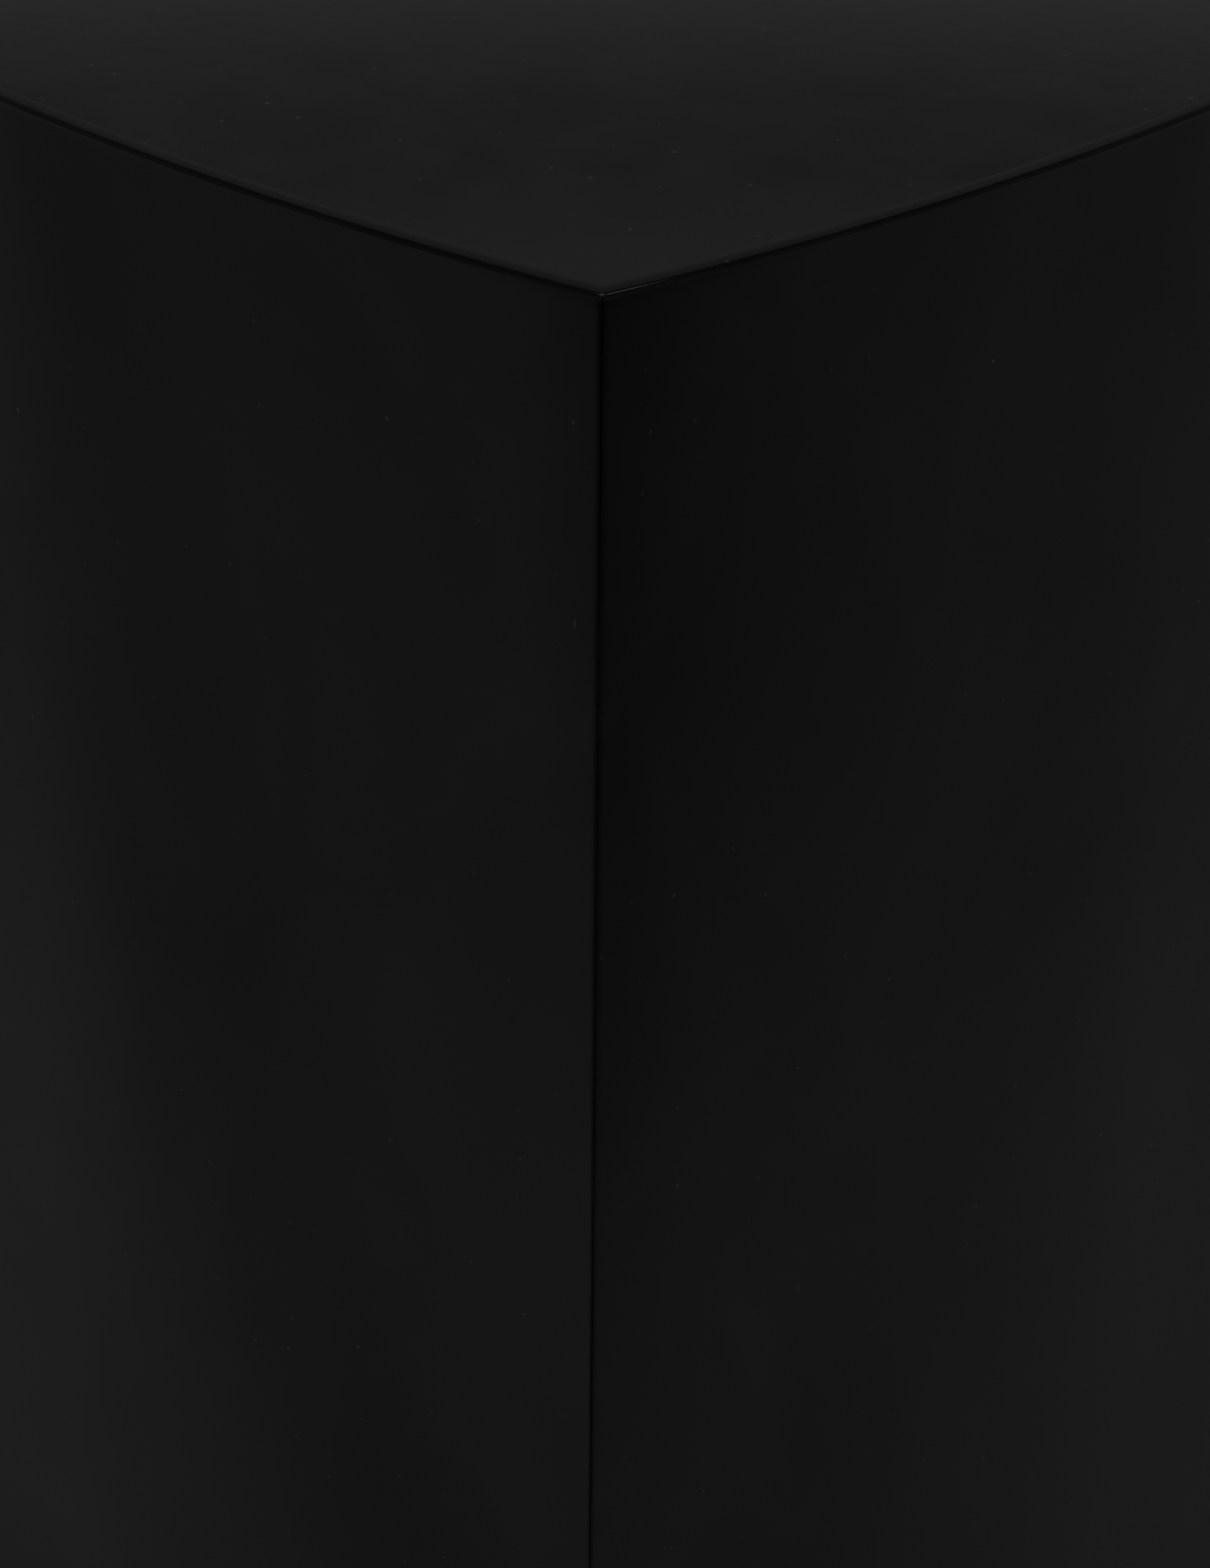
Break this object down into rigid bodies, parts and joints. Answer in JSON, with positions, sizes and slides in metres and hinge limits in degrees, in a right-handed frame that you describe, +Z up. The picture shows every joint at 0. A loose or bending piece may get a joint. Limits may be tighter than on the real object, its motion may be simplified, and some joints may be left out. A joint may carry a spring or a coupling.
{
  "type": "apple box",
  "caption": "Hollow wooden apple box in black lacquer with softly bowed walls, a hand hole in each end and a centre brace inside, for raising people, lights and props on set.",
  "frame": {"origin": "centre of the underside, on the surface that the box stands on", "axes": "+X along the box from one hand hole to the other, +Y across it, +Z up"},
  "size_m": [0.508, 0.305, 0.203],
  "materials": {
    "black_lacquer": "near-black piano lacquer over plywood, polished, with fine dust",
    "bare_plywood": "bare sanded birch plywood",
    "bare_softwood": "bare planed pine",
    "black_screw": "black oxide on countersunk steel wood screws"
  },
  "bodies": {
    "root": {"top_panel": "black_lacquer", "bottom_panel": "black_lacquer", "front_wall": "black_lacquer", "rear_wall": "black_lacquer", "left_end": "black_lacquer", "right_end": "black_lacquer", "centre_brace": "bare_plywood", "corner_tongue_front_left": "bare_plywood", "corner_tongue_front_right": "bare_plywood", "corner_tongue_rear_right": "bare_plywood", "corner_tongue_rear_left": "bare_plywood", "top_tongue_front": "bare_plywood", "top_tongue_right": "bare_plywood", "top_tongue_rear": "bare_plywood", "top_tongue_left": "bare_plywood", "corner_post_front_left": "bare_softwood", "corner_post_front_right": "bare_softwood", "corner_post_rear_right": "bare_softwood", "corner_post_rear_left": "bare_softwood", "top_cleat_front_left": "bare_softwood", "top_cleat_front_right": "bare_softwood", "top_cleat_rear_right": "bare_softwood", "top_cleat_rear_left": "bare_softwood", "top_cleat_right": "bare_softwood", "top_cleat_left": "bare_softwood", "bottom_cleat_front_left": "bare_softwood", "bottom_cleat_front_right": "bare_softwood", "bottom_cleat_rear_right": "bare_softwood", "bottom_cleat_rear_left": "bare_softwood", "bottom_cleat_right": "bare_softwood", "bottom_cleat_left": "bare_softwood", "bottom_screw_01": "black_screw", "bottom_screw_02": "black_screw", "bottom_screw_03": "black_screw", "bottom_screw_04": "black_screw", "bottom_screw_05": "black_screw", "bottom_screw_06": "black_screw", "bottom_screw_07": "black_screw", "bottom_screw_08": "black_screw", "bottom_screw_09": "black_screw", "bottom_screw_10": "black_screw", "bottom_screw_11": "black_screw", "bottom_screw_12": "black_screw", "top_screw_01": "black_screw", "top_screw_02": "black_screw", "top_screw_03": "black_screw", "top_screw_04": "black_screw", "top_screw_05": "black_screw", "top_screw_06": "black_screw", "top_screw_07": "black_screw", "top_screw_08": "black_screw", "top_screw_09": "black_screw", "top_screw_10": "black_screw", "top_screw_11": "black_screw", "top_screw_12": "black_screw"}
  },
  "joints": []
}
